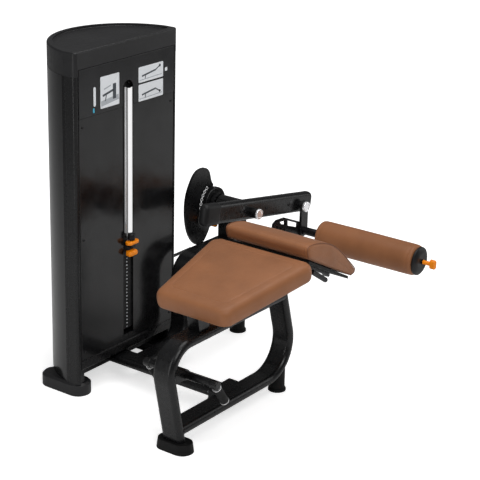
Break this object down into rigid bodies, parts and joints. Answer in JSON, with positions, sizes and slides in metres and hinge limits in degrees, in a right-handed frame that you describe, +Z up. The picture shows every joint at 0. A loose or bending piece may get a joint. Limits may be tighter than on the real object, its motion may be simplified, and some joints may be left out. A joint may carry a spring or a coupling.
{
  "type": "lying leg curl machine",
  "caption": "Selectorised lying leg curl with a D-shaped weight tower, brown chest and thigh pads on a loop frame, and a cam-driven lever carrying an ankle roller.",
  "frame": {"origin": "middle of the floor footprint box, on the floor", "axes": "+X from the head end to the feet end, +Y toward the weight tower, +Z up"},
  "size_m": [1.6357, 1.261, 1.492],
  "materials": {
    "frame_black": "satin",
    "shell_black": "gloss",
    "cap_dark": "satin",
    "placard_black": "gloss",
    "weight_black": "satin",
    "chrome": "polished",
    "bronze": "satin",
    "rubber_black": "matte",
    "plastic_black": "satin",
    "pad_brown": "satin",
    "board_black": "matte",
    "belt_black": "matte",
    "orange": "gloss",
    "bolt_steel": "satin"
  },
  "bodies": {
    "frame": {"tower_feet": "cap_dark", "tower_column_near": "frame_black", "tower_column_far": "frame_black", "tower_rear_shell": "shell_black", "tower_cap": "cap_dark", "front_panel_left": "shell_black", "front_panel_right": "shell_black", "placard": "placard_black", "front_rail": "frame_black", "base_crosstube": "frame_black", "stack_shelf": "frame_black", "guide_rods": "chrome", "stack_bumpers": "rubber_black", "weight_plates": "weight_black", "pulley_brackets": "frame_black", "pulley_axles": "bolt_steel", "belt_main": "belt_black", "belt_drop": "belt_black", "bench_loop_tube": "frame_black", "bench_foot_front": "rubber_black", "post_feet": "rubber_black", "base_beam": "frame_black", "flange_bolts": "bolt_steel", "pivot_frame_tube": "frame_black", "bearing_housing": "frame_black", "pivot_bushings": "bronze", "chest_pad": "pad_brown", "chest_board": "board_black", "thigh_pad": "pad_brown", "thigh_board": "board_black", "thigh_rails": "frame_black", "pad_brackets": "frame_black", "handlebar": "frame_black", "grip_rings": "chrome", "hand_grips": "rubber_black"},
    "stack": {"top_plate": "weight_black", "selector_rod": "chrome", "addon_carrier": "weight_black"},
    "selector": {"selector_pin": "orange"},
    "addon": {"addon_lever": "orange", "addon_knob": "plastic_black"},
    "low_pulley": {"pulley_low": "plastic_black"},
    "outer_pulley": {"pulley_top_outer": "plastic_black"},
    "inner_pulley": {"pulley_top_inner": "plastic_black"},
    "lever": {"knee_axle": "bolt_steel", "lever_arm": "frame_black", "pivot_bosses": "frame_black", "pivot_caps_chrome": "chrome", "start_crank": "frame_black"},
    "cam": {"cam_disc": "frame_black"},
    "start_pin_body": {"start_pin": "orange"},
    "carriage": {"roller_link": "frame_black", "adjuster_plate": "frame_black", "roller_shaft": "frame_black"},
    "roller": {"roller_core": "plastic_black", "roller_pad": "pad_brown", "roller_end_cap": "plastic_black"},
    "roller_knob_body": {"roller_knob": "orange"},
    "latch": {"latch_lever": "plastic_black"}
  },
  "joints": [
    {"name": "knee", "type": "hinge", "parent": "frame", "child": "lever", "pos_m": [0.3257, 0.2135, 0.622], "axis": [0, -1, 0], "range_deg": [0, 110]},
    {"name": "stack_lift", "type": "slide", "parent": "frame", "child": "stack", "axis": [0, 0, 1], "range_m": [0, 0.384], "deforming": ["belt_drop"]},
    {"name": "low_pulley_spin", "type": "hinge", "parent": "frame", "child": "low_pulley", "pos_m": [-0.1013, 0.3335, 0.489], "axis": [0, -1, 0], "continuous": true},
    {"name": "outer_pulley_spin", "type": "hinge", "parent": "frame", "child": "outer_pulley", "pos_m": [-0.1853, 0.3335, 1.322], "axis": [0, 1, 0], "continuous": true},
    {"name": "inner_pulley_spin", "type": "hinge", "parent": "frame", "child": "inner_pulley", "pos_m": [-0.2728, 0.3335, 1.322], "axis": [0, 1, 0], "continuous": true},
    {"name": "selector_pull", "type": "slide", "parent": "stack", "child": "selector", "axis": [0, -1, 0], "range_m": [0, 0.06]},
    {"name": "addon_turn", "type": "hinge", "parent": "stack", "child": "addon", "pos_m": [-0.3103, 0.2835, 0.618], "axis": [0, 0, 1], "range_deg": [-25, 25]},
    {"name": "start_adjust", "type": "hinge", "parent": "lever", "child": "cam", "pos_m": [0.3257, 0.3335, 0.622], "axis": [0, -1, 0], "range_deg": [0, 100.8]},
    {"name": "start_pin_push", "type": "slide", "parent": "lever", "child": "start_pin_body", "axis": [0, 1, 0], "range_m": [0, 0.011]},
    {"name": "roller_swing", "type": "hinge", "parent": "lever", "child": "carriage", "pos_m": [0.7097, 0.1015, 0.557], "axis": [0, 1, 0], "range_deg": [-10, 15]},
    {"name": "roller_spin", "type": "hinge", "parent": "carriage", "child": "roller", "pos_m": [0.7097, -0.2885, 0.437], "axis": [0, 1, 0], "continuous": true},
    {"name": "roller_knob_pull", "type": "slide", "parent": "carriage", "child": "roller_knob_body", "axis": [0, -1, 0], "range_m": [0, 0.01]},
    {"name": "latch_turn", "type": "hinge", "parent": "frame", "child": "latch", "pos_m": [-0.0773, -0.3885, 0.606], "axis": [0, 1, 0], "range_deg": [-6, 15]}
  ],
  "couplings": [
    {"joint": "stack_lift", "follows": "knee", "m_per_rad": 0.2},
    {"joint": "low_pulley_spin", "follows": "knee", "ratio": 4.3011},
    {"joint": "outer_pulley_spin", "follows": "knee", "ratio": 5.3333},
    {"joint": "inner_pulley_spin", "follows": "knee", "ratio": 5.3333}
  ]
}
